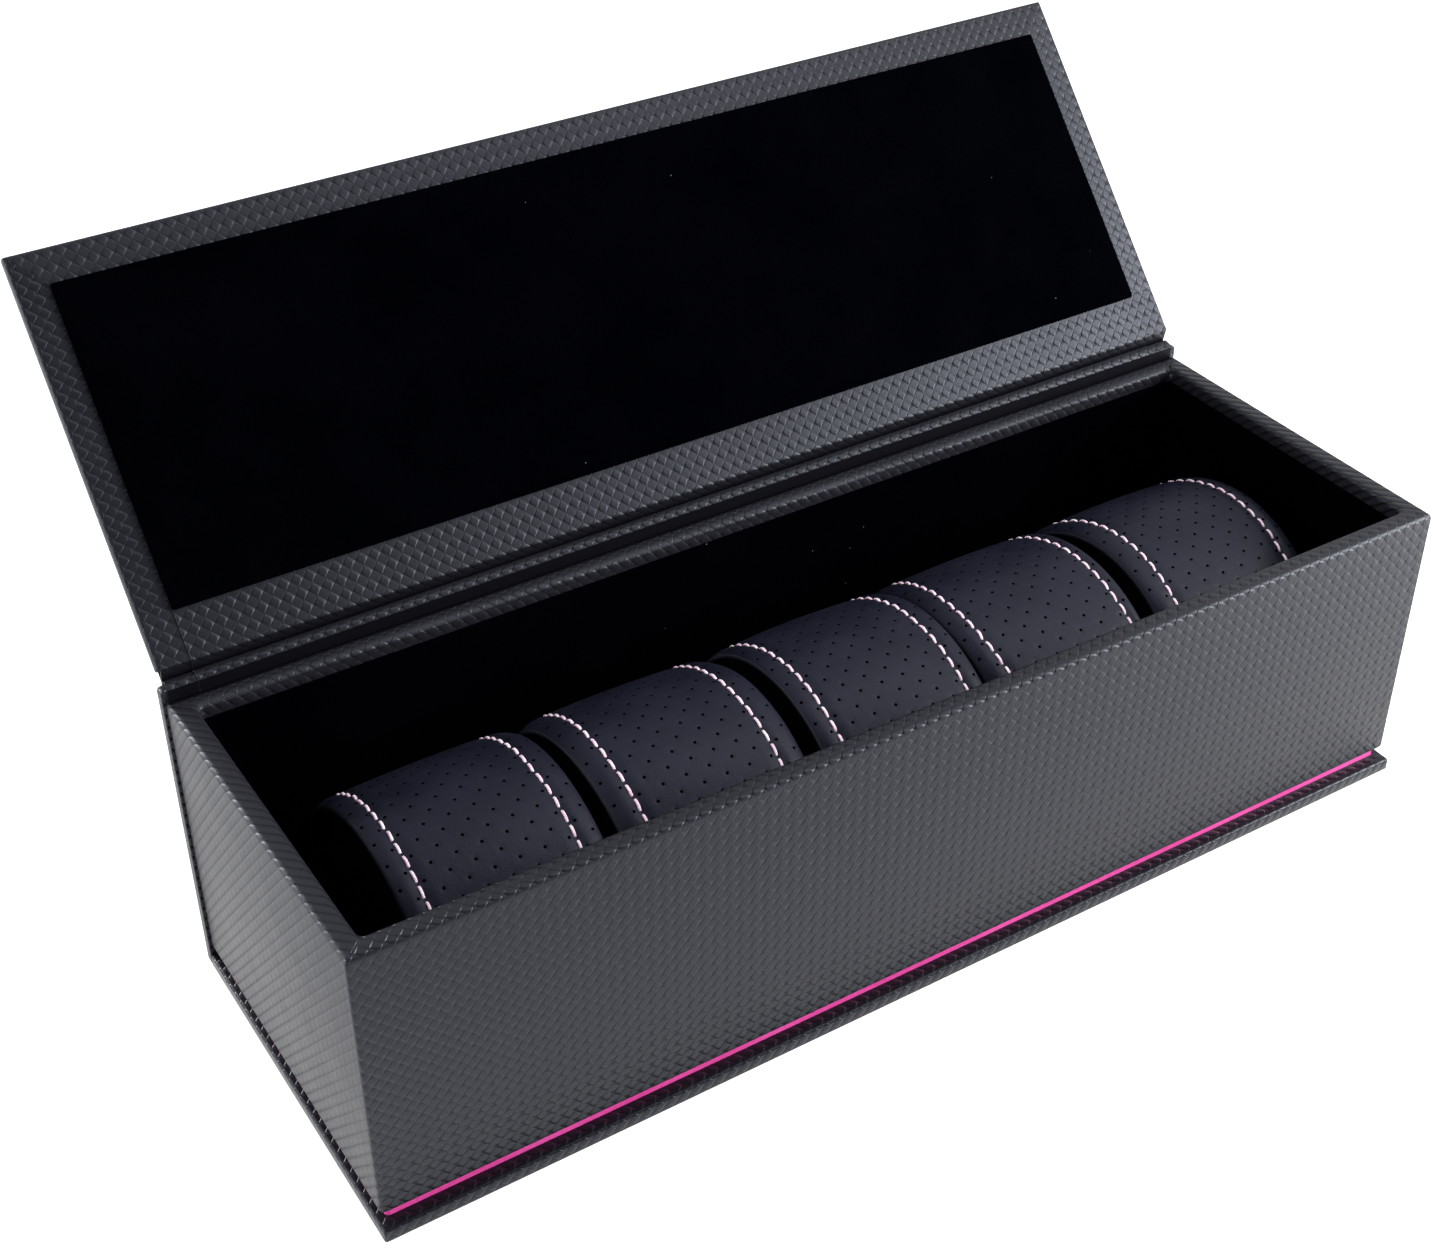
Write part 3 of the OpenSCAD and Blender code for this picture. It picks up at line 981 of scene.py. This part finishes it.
def lining_path(sink):
    """From behind the tray's rim, rolled over the spine, into the fold and up the lid.

    sink is how far the path lies below the lining's own. Returns it with how
    much painted shade each of its points carries, from 0 to 1.
    """
    y0, y1, z = SPINE_LO[1], SPINE_HI[1], SPINE_HI[2]
    face = y0 - 0.25 + sink * 0.3
    low = [(face, z - 4.2), (face, z + 0.1), (face + 0.3, z + 0.6), (face + 0.9, z + 1.1),
           (y0 + 1.75, z + ROLL_TOP - 0.05), (y1 - 1.0, z + ROLL_TOP),
           (y1 - 0.45, z + ROLL_TOP - 0.4), (y1 - 0.15, z + 0.5)]
    low = low[:2] + [(y + sink * 0.5, height - sink) for y, height in low[2:]]
    high = yz([(LID_HI[1] + 0.12 - sink, LID_LO[2] - 0.1),
               (LID_HI[1] - 0.5, LID_LO[2] - LINING_T + sink),
               (PAD_HI[1] - 1.0, LID_LO[2] - LINING_T + sink)])
    path = rounded_path([*low, *high], 0.6)
    lift = path[:, 1] - (z + 0.05)
    # the face behind the rim and the inside of the fold are painted dark, as painted shade
    fold = (path[:, 0] > y1 - 0.6) & (path[:, 1] < LID_FOLD_Z)
    deep = np.where(lift < 0, 1.0, 0.0) + np.where(fold, 1.0, 0.0)
    return path, np.clip(deep, 0, 1)


def hinge_strips():
    lid_y1, lid_top = LID_HI[1], LID_HI[2]
    y1, z = SPINE_HI[1], SPINE_HI[2]
    low = [(y1 + OUTER_PROUD, z - 4.0), (y1 + OUTER_PROUD, z - 0.4)]
    high = yz([(lid_y1 + OUTER_PROUD, lid_top + OUTER_PROUD),
               (lid_y1 - 3.0, lid_top + OUTER_PROUD)])
    path = rounded_path([*low, *high], 1.2)
    outer = strip("hinge_outer_strip", path, np.zeros(len(path)), COVER_T, HINGE_HALF_X)
    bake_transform(outer)
    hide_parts("hinge_cover")
    path, deep = lining_path(0.0)
    lining = strip("hinge_lining_strip", path, deep, LINING_T, PAD_HI[0], side=-1)
    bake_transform(lining)
    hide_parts("hinge_lining", "lid_lining")
    # the covering turned in under the lining shows at its two ends
    path, deep = lining_path(TURN_IN_SINK)
    under = strip("hinge_turn_in", path, deep, LINING_T, HINGE_HALF_X, side=-1, frayed=0.0)
    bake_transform(under)


# ---------------- velvet panels

# How a panel's face rises to its middle: inset, share of the crown left, corner radius
PANEL_CROWN = ((2.5, 0.45, 1.5), (7.0, 0.1, 3), (16.0, 0.0, 5))
PANEL_CORNER_R = 0.6
PANEL_EDGE_CORNER_R = 0.7


def soft_panel(name, box, thin, face, body, replaced, place=None, radius=0.3, crown=0.1):
    """A velvet-covered panel: its rounded, crowned face looks along axis thin."""
    low, high = box
    a, b = [k for k in range(3) if k != thin]
    rect = (low[a], high[a], low[b], high[b])
    base = low[thin] if face > 0 else high[thin]
    depth = high[thin] - low[thin]
    edge = depth - radius - crown
    steps = [(0, 0.0, PANEL_CORNER_R), (0, edge, PANEL_CORNER_R)]
    steps += arc_steps(radius, edge, radius, 0, 80, PANEL_EDGE_CORNER_R, 4)[1:]
    steps += [(inset, depth - crown * left, corner) for inset, left, corner in PANEL_CROWN]

    def put(points):
        out = np.empty_like(points)
        out[:, a], out[:, b] = points[:, 0], points[:, 1]
        out[:, thin] = base + face * points[:, 2]
        return place(out) if place else out

    obj = sweep(name, steps, rect, [VELVET], put, capped=True, sharp=60)
    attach(obj, body)
    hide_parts(replaced)


def velvet_panels():
    for side, thin, face in (("front", 1, 1), ("back", 1, -1), ("left", 0, 1),
                             ("right", 0, -1), ("floor", 2, 1)):
        node = "lining_" + side
        soft_panel("velvet_" + side, node_box(node), thin, face, "case", node)
    soft_panel("velvet_lid", (PAD_LO, PAD_HI), 2, -1, "lid", "lid_velvet", opened,
               radius=0.8, crown=0.25)


# ---------------- pillows

ROUND_R = 25.0
FLAT = 0.8
OUTLINE_POINTS = 2880
FLAT_POWER = 60.0
SLEEVE_T = 1.2
HALF_CELL = 3.05
ROWS = 60
PER_CELL = 3
MIDDLE_CELLS = 12
SLEEVE_BEVEL = 0.18
EDGE_ROLL = 0.06
CROWN = 0.45
SEAM_WIDTH = 1.1
SEAM_PULL = 0.44
STITCH_PULL = 0.14
SEAM_MARGIN = 1.5
CREASE = 0.22
CREASE_SIZE = 34
LEAN_SHARE = 0.33
STITCHES = 49
HOLE_R = 0.42
HOLE_LIP = 0.50
# radius and depth of a hole's lip, wall and floor, and where the points of each lie
HOLE_RINGS = ((HOLE_LIP, 0.0), (HOLE_R, 0.02), (HOLE_R * 0.92, 0.95))
HOLE_TURN = np.radians((225 + 30 * np.arange(4 * PER_CELL)) % 360)

# Sleeve's left edge, left seam, right seam and right edge at the seam's middle
# height, then how far each leans over to the right from low in front to the top
SLEEVES = {
    1: ((-126.1, -120.6, -83.5, -77.3), (0.0, 0.0, 0.4, 0.3)),
    2: ((-72.9, -66.3, -30.0, -23.0), (-0.6, -1.1, 0.9, 0.6)),
    3: ((-18.4, -13.1, 23.9, 29.1), (0.5, 0.7, 0.7, 0.5)),
    4: ((31.1, 37.7, 75.7, 78.9), (-1.5, -4.2, 0.5, 0.3)),
    5: ((84.3, 90.6, 128.5, 133.3), (1.2, 2.8, 1.9, 1.0)),
}


class Section:
    """A pillow's outline in Y and Z, measured by its girth from the underside's middle."""

    def __init__(self, node):
        low, high = node_box(node)
        self.y = (low[1] + high[1]) / 2
        self.a = (high[1] - low[1]) / 2
        height = high[2] - low[2]
        self.b = (height + FLAT) / 2
        self.z = high[2] - self.b
        a, b, r = self.a, self.b, ROUND_R
        c = a - r
        big = (c * c + b * b - r * r) / (2 * (b - r))
        drop = big - b
        turn = np.linspace(0, math.tau, OUTLINE_POINTS + 1)[:-1] - math.pi / 2
        turn = -turn - math.pi
        # distance from the middle to the four-arc oval along each direction
        dy, dz = np.cos(turn), np.sin(turn)
        side = np.abs(dy) * c
        end = side + np.sqrt(np.maximum(side ** 2 - c * c + r * r, 0))
        lift = -np.abs(dz) * drop
        face = lift + np.sqrt(lift ** 2 - drop * drop + big * big)
        joint = c * big / (big - r)
        far = np.where(np.abs(face * dy) < joint, face, end)
        floor = np.where(dz < 0, (b - FLAT) / np.maximum(-dz, 1e-9), 1e9)
        # the flat underside cuts the oval off, with a soft corner
        far = (far ** -FLAT_POWER + floor ** -FLAT_POWER) ** (-1 / FLAT_POWER)
        y, z = far * dy, far * dz
        step = np.hypot(np.diff(np.append(y, y[0])), np.diff(np.append(z, z[0])))
        s = np.concatenate([[0], np.cumsum(step)])
        self.girth = s[-1]
        self.s = s
        self.ys = np.append(y, y[0])
        self.zs = np.append(z, z[0])
        ty = np.gradient(self.ys, s)
        tz = np.gradient(self.zs, s)
        size = np.hypot(ty, tz)
        self.ny = -tz / size
        self.nz = ty / size
        if self.nz[len(s) // 2] < 0:
            self.ny, self.nz = -self.ny, -self.nz

    def at(self, s, out):
        """Points at girth s, pushed out from the outline by out."""
        s = np.mod(s, self.girth)
        y, z, ny, nz = (np.interp(s, self.s, v) for v in (self.ys, self.zs, self.ny, self.nz))
        return self.y + y + ny * out, self.z + z + nz * out


class Sleeve:
    """One pillow's sleeve: where its edges and seams run, and its surface."""

    def __init__(self, k):
        self.k = k
        self.section = Section(f"pillow_{k}_sleeve")
        self.lines, self.leans = (np.array(v) for v in SLEEVES[k])
        self.girth = self.section.girth

    def lean(self, s):
        """From -0.5 low in front and behind to 0.5 at the top."""
        far = np.abs(np.mod(s, self.girth) - self.girth / 2) / self.girth
        return np.where(far < LEAN_SHARE, 0.5 * np.cos(math.pi * far / LEAN_SHARE), -0.5)

    def line(self, n, s):
        return self.lines[n] + self.leans[n] * self.lean(s)

    def x_at(self, u, s):
        """u runs 0 to 1 to the left seam, to 2 at the right seam and 3 at the edge."""
        whole = np.clip(np.floor(u), 0, 2).astype(int)
        part = u - whole
        lines = np.stack([self.line(n, s) for n in range(4)])
        left = np.take_along_axis(lines, whole[None], 0)[0]
        right = np.take_along_axis(lines, whole[None] + 1, 0)[0]
        return left + (right - left) * part

    def rise(self, x, s):
        """How far the leather stands above the plain roll."""
        dip = 0.0
        for n in (1, 2):
            near = (x - self.line(n, s)) / SEAM_WIDTH
            pull = SEAM_PULL + STITCH_PULL * np.cos(math.tau * s / self.girth * STITCHES)
            dip = dip + pull * np.exp(-near * near)
        mid = (self.lines[1] + self.lines[2]) / 2
        half = (self.lines[2] - self.lines[1]) / 2
        crown = CROWN * np.maximum(0, 1 - ((x - mid) / half) ** 2)
        past = np.maximum(0, np.abs(x - mid) - half - SEAM_MARGIN)
        crown = crown - EDGE_ROLL * past * past
        far = np.stack([x * 0.7, s * 0.5, x * 0 + self.k * 40], axis=-1)
        return crown - dip + CREASE * soft_noise(far, CREASE_SIZE, self.k)

    def points(self, x, s, depth):
        """Points at the given depth below the leather's surface."""
        y, z = self.section.at(s, self.rise(x, s) - depth)
        return np.stack([x, y, z], axis=-1)


def on_seam(u):
    return min(abs(u - 1), abs(u - 2)) < 1e-6


def sleeve_columns(sleeve):
    """Where the cells' edges lie across the sleeve, and the finer columns' edges."""
    counts = [max(1, round(w / HALF_CELL)) for w in np.diff(sleeve.lines)]
    counts[1] = MIDDLE_CELLS
    cells = [0.0]
    for n, count in enumerate(counts):
        cells += [n + (m + 1) / count for m in range(count)]
    fine = []
    for one, two in zip(cells, cells[1:]):
        # the columns are finer beside the seams
        cuts = (1 / 3, 2 / 3)
        if on_seam(one):
            cuts = (0.16, 0.5)
        if on_seam(two):
            cuts = (0.5, 0.84)
        fine += [one] + [one + (two - one) * cut for cut in cuts]
    return cells, np.array(fine + [cells[-1]])


def punch_hole(build, sleeve, edge, u, s):
    """A cell with a hole, from the point numbers of its edge down to the hole's floor."""
    x = float(sleeve.x_at(np.array([u]), np.array([s]))[0])
    rings = [edge]
    for radius, depth in HOLE_RINGS:
        rx = x + radius * np.cos(HOLE_TURN)
        rs = s + radius * np.sin(HOLE_TURN)
        rings.append(build.add(sleeve.points(rx, rs, depth), rx, rs))
    # the hole's wall and floor take the near-black material, as painted shade
    for level, (one, two) in enumerate(zip(rings, rings[1:])):
        for face in bridge(one, two):
            build.face(face, 1 if level == 2 else 0)
    build.face(rings[-1], 1)


def sleeve_mesh(sleeve):
    """The perforated sleeve: half cells, of which every other one has a hole."""
    k = sleeve.k
    cells, fine = sleeve_columns(sleeve)
    nx, ns = len(fine), ROWS * PER_CELL
    s_fine = np.arange(ns) * sleeve.girth / ns
    U, S = np.meshgrid(fine, s_fine, indexing="ij")
    X = sleeve.x_at(U, S)
    X[0] += SLEEVE_BEVEL
    X[-1] -= SLEEVE_BEVEL
    build = Assembly()
    build.add(sleeve.points(X, S, 0.0).reshape(-1, 3), X.ravel(), S.ravel())

    def at(a, b):
        return a * ns + b % ns

    whole = range(PER_CELL)
    for i, (one, two) in enumerate(zip(cells, cells[1:])):
        for j in range(ROWS):
            a0, b0 = i * PER_CELL, j * PER_CELL
            a1, b1 = a0 + PER_CELL, b0 + PER_CELL
            if (i + j) % 2:
                for a in range(a0, a1):
                    for b in range(b0, b1):
                        build.face([at(a, b), at(a + 1, b), at(a + 1, b + 1), at(a, b + 1)])
                continue
            edge = [at(a0 + m, b0) for m in whole] + [at(a1, b0 + m) for m in whole]
            edge += [at(a1 - m, b1) for m in whole] + [at(a0, b1 - m) for m in whole]
            punch_hole(build, sleeve, edge, (one + two) / 2, (j + 0.5) * sleeve.girth / ROWS)
    inner = []
    for a, inward in ((0, SLEEVE_BEVEL), (nx - 1, -SLEEVE_BEVEL)):
        x_edge = X[a] - inward
        rings = [[at(a, b) for b in range(ns)]]
        # the cut edge: rounded and paler outside, rounded inside
        for depth, x, wear_and_shade in ((0.16, x_edge, 1.0), (SLEEVE_T - 0.12, x_edge, 0.0),
                               (SLEEVE_T, x_edge + inward, 0.0)):
            rings.append(build.add(sleeve.points(x, s_fine, depth), x, s_fine, wear_and_shade))
        for one, two in zip(rings, rings[1:]):
            for face in bridge(one, two):
                build.face(face[::-1] if a else face)
        inner.append(rings[-1])
    # the sleeve's inside takes the same near-black material
    for face in bridge(*inner):
        build.face(face, 1)
    obj = build.mesh(f"pillow_{k}_leather", [LEATHER, HOLE_SHADE], sharp=60)
    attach(obj, f"pillow_{k}")
    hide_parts(f"pillow_{k}_sleeve")


THREAD_W = 0.40
THREAD_H = 0.28
STITCH_LEN = 3.5
THREAD_SIDES = 8


def stitch_mesh(sleeve):
    """Every stitch of both seams, each a bent closed thread."""
    k = sleeve.k
    rng = np.random.RandomState(40 + k)
    along = np.array([-1.0, -0.97, -0.88, -0.66, -0.33, 0.0, 0.33, 0.66, 0.88, 0.97, 1.0])
    bow = np.array([-0.5, -0.3, -0.05, 0.1, 0.15, 0.17, 0.15, 0.1, -0.05, -0.3, -0.5])
    thick = np.array([0.30, 0.72, 0.95, 1, 1, 1, 1, 1, 0.95, 0.72, 0.30])
    pitch = sleeve.girth / STITCHES
    around = np.arange(THREAD_SIDES) * math.tau / THREAD_SIDES
    build = Assembly()
    for n in (1, 2):
        for m in range(STITCHES):
            s0 = (m + 0.5) * pitch
            skew = rng.normal(0.10, 0.06)
            shift = rng.normal(0, 0.07)
            half = STITCH_LEN / 2 * rng.uniform(0.95, 1.03)
            rings = []
            for q, h, t in zip(along, bow, thick):
                s = np.full(THREAD_SIDES, s0 + q * half)
                base = sleeve.line(n, s) + shift
                x = base + skew * q + THREAD_W * t * np.cos(around)
                out = h + THREAD_H * t * np.sin(around)
                y, z = sleeve.section.at(s, sleeve.rise(base, s) + out)
                # painted shade: the thread's underside, and its top where it dives into the
                # leather, are marked darker pink
                dark = np.where(np.sin(around) > 0.1, 1.0 if abs(q) > 0.9 else 0.0, 0.75)
                rings.append(build.add(np.stack([x, y, z], -1), s * 0 + q * half,
                                       around / math.tau, dark))
            for one, two in zip(rings, rings[1:]):
                for c in range(THREAD_SIDES):
                    c2 = (c + 1) % THREAD_SIDES
                    build.face([one[c], two[c], two[c2], one[c2]])
            build.face(rings[0])
            build.face(rings[-1][::-1])
    obj = build.mesh(f"pillow_{k}_thread", [THREAD], sharp=80)
    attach(obj, f"pillow_{k}")
    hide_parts(f"pillow_{k}_stitching")


CUSHION_INSET = 1.4
CUSHION_GAP = 0.06
CUSHION_POINTS = 96
PUCKER = 0.18
PUCKERS = 17
END_WAVE = 0.25


def cushion_mesh(sleeve):
    """The foam roll inside the sleeve, with crowned ends of dark fabric."""
    k = sleeve.k
    count = CUSHION_POINTS
    s = np.arange(count) * sleeve.girth / count
    left = sleeve.line(0, s) + CUSHION_INSET
    right = sleeve.line(3, s) - CUSHION_INSET
    shares = np.array([0.25, 0.5, 0.72, 0.87, 0.95, 0.985])
    rings = []

    def ring(x_edge, share, bulge):
        """A ring on an end, share of the way out from its middle."""
        y, z = sleeve.section.at(s, sleeve.rise(x_edge, s) - SLEEVE_T - CUSHION_GAP)
        y = sleeve.section.y + (y - sleeve.section.y) * share
        z = sleeve.section.z + (z - sleeve.section.z) * share
        pucker = PUCKER * np.cos(PUCKERS * math.tau * s / sleeve.girth + k) * share ** 3
        wave = END_WAVE * soft_noise(np.stack([y, z, y * 0 + k], -1), 18, 9 + k)
        return np.stack([x_edge + bulge + pucker + wave, y, z], -1)

    for share in shares:
        rings.append(ring(left, share, -1.0 * (1 - share ** 4) + 0.9 * share ** 10))
    rings.append(ring(left, 1.0, 2.0))
    rings.append(ring(right, 1.0, -2.0))
    for share in shares[::-1]:
        rings.append(ring(right, share, 1.0 * (1 - share ** 4) - 0.9 * share ** 10))
    faces = tube(count, len(rings))
    last = (len(rings) - 1) * count
    faces.append(list(range(count))[::-1])
    faces.append([last + m for m in range(count)])
    obj = mesh(f"pillow_{k}_cushion", np.vstack(rings), faces, [CUSHION], sharp=60)
    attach(obj, f"pillow_{k}")
    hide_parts(f"pillow_{k}_core", f"pillow_{k}_ends")


# ---------------- carried-over nodes

def dress(node, material):
    """Gives a CAD node that shows as it is its material."""
    obj = frame["nodes"][node]
    obj.data.materials.clear()
    obj.data.materials.append(material)


tray_covering()
lid_covering()
base_covering()
spine_covering()
hinge_strips()
velvet_panels()
for number in SLEEVES:
    one_sleeve = Sleeve(number)
    sleeve_mesh(one_sleeve)
    stitch_mesh(one_sleeve)
    cushion_mesh(one_sleeve)

for plain in ("base_board", "plinth_board", "spine_board", "wall_front", "wall_back",
              "wall_left", "wall_right", "floor_board", "lid_board", "lid_pad"):
    dress(plain, BOARD)
dress("base_liner", LINER)
dress("plinth_band", PINK)
dress("wall_magnets", STEEL)
dress("lid_magnets", STEEL)

view = bpy.context.scene.view_settings
view.view_transform = "Standard"
